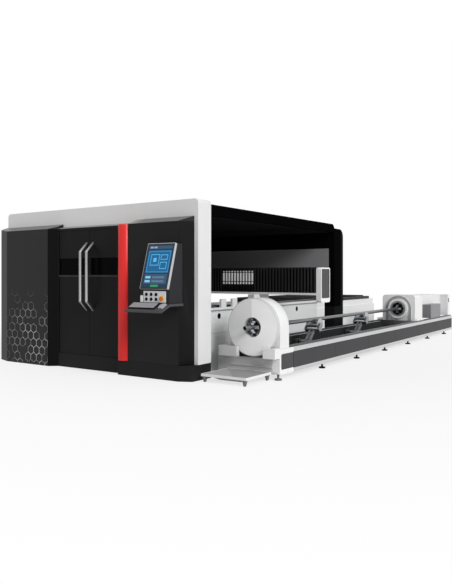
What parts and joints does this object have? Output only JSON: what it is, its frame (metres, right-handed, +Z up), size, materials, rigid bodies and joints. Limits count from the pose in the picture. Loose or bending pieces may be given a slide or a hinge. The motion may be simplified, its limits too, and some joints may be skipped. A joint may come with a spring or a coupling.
{
  "type": "fiber laser cutting machine",
  "caption": "Enclosed laser cutting machine: a gantry over an exchange-table sheet bed, a chuck-fed tube bed along one side, sliding doors and an operator console.",
  "frame": {"origin": "centre of the machine's footprint on the floor", "axes": "+Z up, -Y towards the operator front, +Y along the tube bed"},
  "size_m": [4.49, 9.03, 2.21],
  "materials": {
    "white_paint": "fine-textured powder coat",
    "black_paint": "satin powder coat",
    "roof_paint": "satin powder coat",
    "grey_paint": "satin powder coat",
    "red_paint": "gloss paint",
    "bed_paint": "light grey enamel",
    "panel_grey": "satin powder coat",
    "steel": "ground steel",
    "dark_steel": "blackened steel",
    "slat_steel": "scaled mild steel",
    "zinc": "galvanised sheet",
    "aluminium": "anodised",
    "silver_plastic": "satin moulded",
    "black_plastic": "moulded",
    "stop_red": "moulded",
    "screen": "display glass",
    "dark_glass": "laser-safe pane, near black",
    "bellows_sheet": "coated pleated cloth"
  },
  "bodies": {
    "machine": {"front_frame": "black_paint", "front_caps": "grey_paint", "left_cabinet": "black_paint", "right_cabinet": "black_paint", "red_pillar": "red_paint", "front_arch": "white_paint", "roof_shell": "roof_paint", "left_wall": "white_paint", "rear_frame": "roof_paint", "hmi_housing": "black_paint", "monitor_bezel": "silver_plastic", "monitor_screen": "screen", "button_panel": "silver_plastic", "push_buttons": "black_plastic", "keyboard_shelf": "grey_paint", "keyboard": "black_plastic", "mouse": "black_plastic", "bed_frame": "bed_paint", "linear_rails": "steel", "exchange_frame": "white_paint", "tube_bed": "white_paint", "tube_bed_panels": "panel_grey", "tube_end_cap": "white_paint", "feet": "black_plastic", "chuck_housing": "white_paint", "chuck_cover": "white_paint", "catch_tray": "zinc"},
    "stop_knob": {"stop_button": "stop_red"},
    "left_leaf": {"door_left": "black_paint", "window_left": "dark_glass", "handle_left": "steel"},
    "right_leaf": {"door_right": "black_paint", "window_right": "dark_glass", "handle_right": "steel"},
    "gantry": {"gantry_beam": "white_paint", "beam_end_cap": "white_paint", "beam_bellows": "bellows_sheet", "gantry_shoes": "bed_paint"},
    "carriage": {"head_carriage": "white_paint"},
    "z_axis": {"z_slide": "panel_grey", "cutting_head": "aluminium"},
    "lower_pallet": {"pallet_lower": "slat_steel"},
    "upper_pallet": {"pallet_upper": "slat_steel"},
    "front_spindle": {"front_chuck": "dark_steel"},
    "rear_carriage": {"rear_housing": "white_paint", "rear_box": "white_paint"},
    "rear_spindle": {"rear_chuck": "dark_steel", "stock_tube": "steel"},
    "arm_1": {"support_arm_1": "zinc"},
    "arm_2": {"support_arm_2": "zinc"},
    "roller_1": {"support_roller_1": "steel"},
    "roller_2": {"support_roller_2": "steel"},
    "front_jaw_1": {"front_jaw_1": "steel"},
    "front_jaw_2": {"front_jaw_2": "steel"},
    "front_jaw_3": {"front_jaw_3": "steel"},
    "front_jaw_4": {"front_jaw_4": "steel"},
    "rear_jaw_1": {"rear_jaw_1": "steel"},
    "rear_jaw_2": {"rear_jaw_2": "steel"},
    "rear_jaw_3": {"rear_jaw_3": "steel"},
    "rear_jaw_4": {"rear_jaw_4": "steel"}
  },
  "joints": [
    {"name": "stop_press", "type": "slide", "parent": "machine", "child": "stop_knob", "axis": [0, 1, 0], "range_m": [0, 0.006]},
    {"name": "left_door_slide", "type": "slide", "parent": "machine", "child": "left_leaf", "axis": [-1, 0, 0], "range_m": [0, 0.51]},
    {"name": "right_door_slide", "type": "slide", "parent": "machine", "child": "right_leaf", "axis": [1, 0, 0], "range_m": [0, 0.51]},
    {"name": "gantry_travel", "type": "slide", "parent": "machine", "child": "gantry", "axis": [0, 1, 0], "range_m": [-0.95, 1.75]},
    {"name": "carriage_travel", "type": "slide", "parent": "gantry", "child": "carriage", "axis": [1, 0, 0], "range_m": [0, 3.085], "deforming": ["beam_bellows"]},
    {"name": "head_lift", "type": "slide", "parent": "carriage", "child": "z_axis", "axis": [0, 0, 1], "range_m": [-0.21, 0]},
    {"name": "lower_pallet_travel", "type": "slide", "parent": "machine", "child": "lower_pallet", "axis": [0, 1, 0], "range_m": [0, 3.8]},
    {"name": "upper_pallet_travel", "type": "slide", "parent": "machine", "child": "upper_pallet", "axis": [0, 1, 0], "range_m": [-3.8, 0]},
    {"name": "rear_feed", "type": "slide", "parent": "machine", "child": "rear_carriage", "axis": [0, 1, 0], "range_m": [-1.6, 0]},
    {"name": "rear_spin", "type": "hinge", "parent": "rear_carriage", "child": "rear_spindle", "pos_m": [1.885, 2.2, 0.635], "axis": [0, 1, 0], "continuous": true},
    {"name": "front_spin", "type": "hinge", "parent": "machine", "child": "front_spindle", "pos_m": [1.885, -3.26, 0.635], "axis": [0, 1, 0], "continuous": true},
    {"name": "front_jaw_1_grip", "type": "slide", "parent": "front_spindle", "child": "front_jaw_1", "axis": [0, 0, 1], "range_m": [0, 0.04]},
    {"name": "front_jaw_2_grip", "type": "slide", "parent": "front_spindle", "child": "front_jaw_2", "axis": [1, 0, 0], "range_m": [0, 0.04]},
    {"name": "front_jaw_3_grip", "type": "slide", "parent": "front_spindle", "child": "front_jaw_3", "axis": [0, 0, -1], "range_m": [0, 0.04]},
    {"name": "front_jaw_4_grip", "type": "slide", "parent": "front_spindle", "child": "front_jaw_4", "axis": [-1, 0, 0], "range_m": [0, 0.04]},
    {"name": "rear_jaw_1_grip", "type": "slide", "parent": "rear_spindle", "child": "rear_jaw_1", "axis": [0, 0, 1], "range_m": [0, 0.04]},
    {"name": "rear_jaw_2_grip", "type": "slide", "parent": "rear_spindle", "child": "rear_jaw_2", "axis": [1, 0, 0], "range_m": [0, 0.04]},
    {"name": "rear_jaw_3_grip", "type": "slide", "parent": "rear_spindle", "child": "rear_jaw_3", "axis": [0, 0, -1], "range_m": [0, 0.04]},
    {"name": "rear_jaw_4_grip", "type": "slide", "parent": "rear_spindle", "child": "rear_jaw_4", "axis": [-1, 0, 0], "range_m": [0, 0.04]},
    {"name": "arm_1_tilt", "type": "hinge", "parent": "machine", "child": "arm_1", "pos_m": [1.885, -1.935, 0.332], "axis": [1, 0, 0], "range_deg": [-40, 0]},
    {"name": "roller_1_spin", "type": "hinge", "parent": "arm_1", "child": "roller_1", "pos_m": [1.885, -1.705, 0.5617], "axis": [1, 0, 0], "continuous": true},
    {"name": "arm_2_tilt", "type": "hinge", "parent": "machine", "child": "arm_2", "pos_m": [1.885, -0.135, 0.332], "axis": [1, 0, 0], "range_deg": [-40, 0]},
    {"name": "roller_2_spin", "type": "hinge", "parent": "arm_2", "child": "roller_2", "pos_m": [1.885, 0.095, 0.5617], "axis": [1, 0, 0], "continuous": true}
  ],
  "couplings": [
    {"joint": "front_spin", "follows": "rear_spin", "ratio": 1},
    {"joint": "front_jaw_2_grip", "follows": "front_jaw_1_grip", "ratio": 1},
    {"joint": "front_jaw_3_grip", "follows": "front_jaw_1_grip", "ratio": 1},
    {"joint": "front_jaw_4_grip", "follows": "front_jaw_1_grip", "ratio": 1},
    {"joint": "rear_jaw_2_grip", "follows": "rear_jaw_1_grip", "ratio": 1},
    {"joint": "rear_jaw_3_grip", "follows": "rear_jaw_1_grip", "ratio": 1},
    {"joint": "rear_jaw_4_grip", "follows": "rear_jaw_1_grip", "ratio": 1}
  ]
}
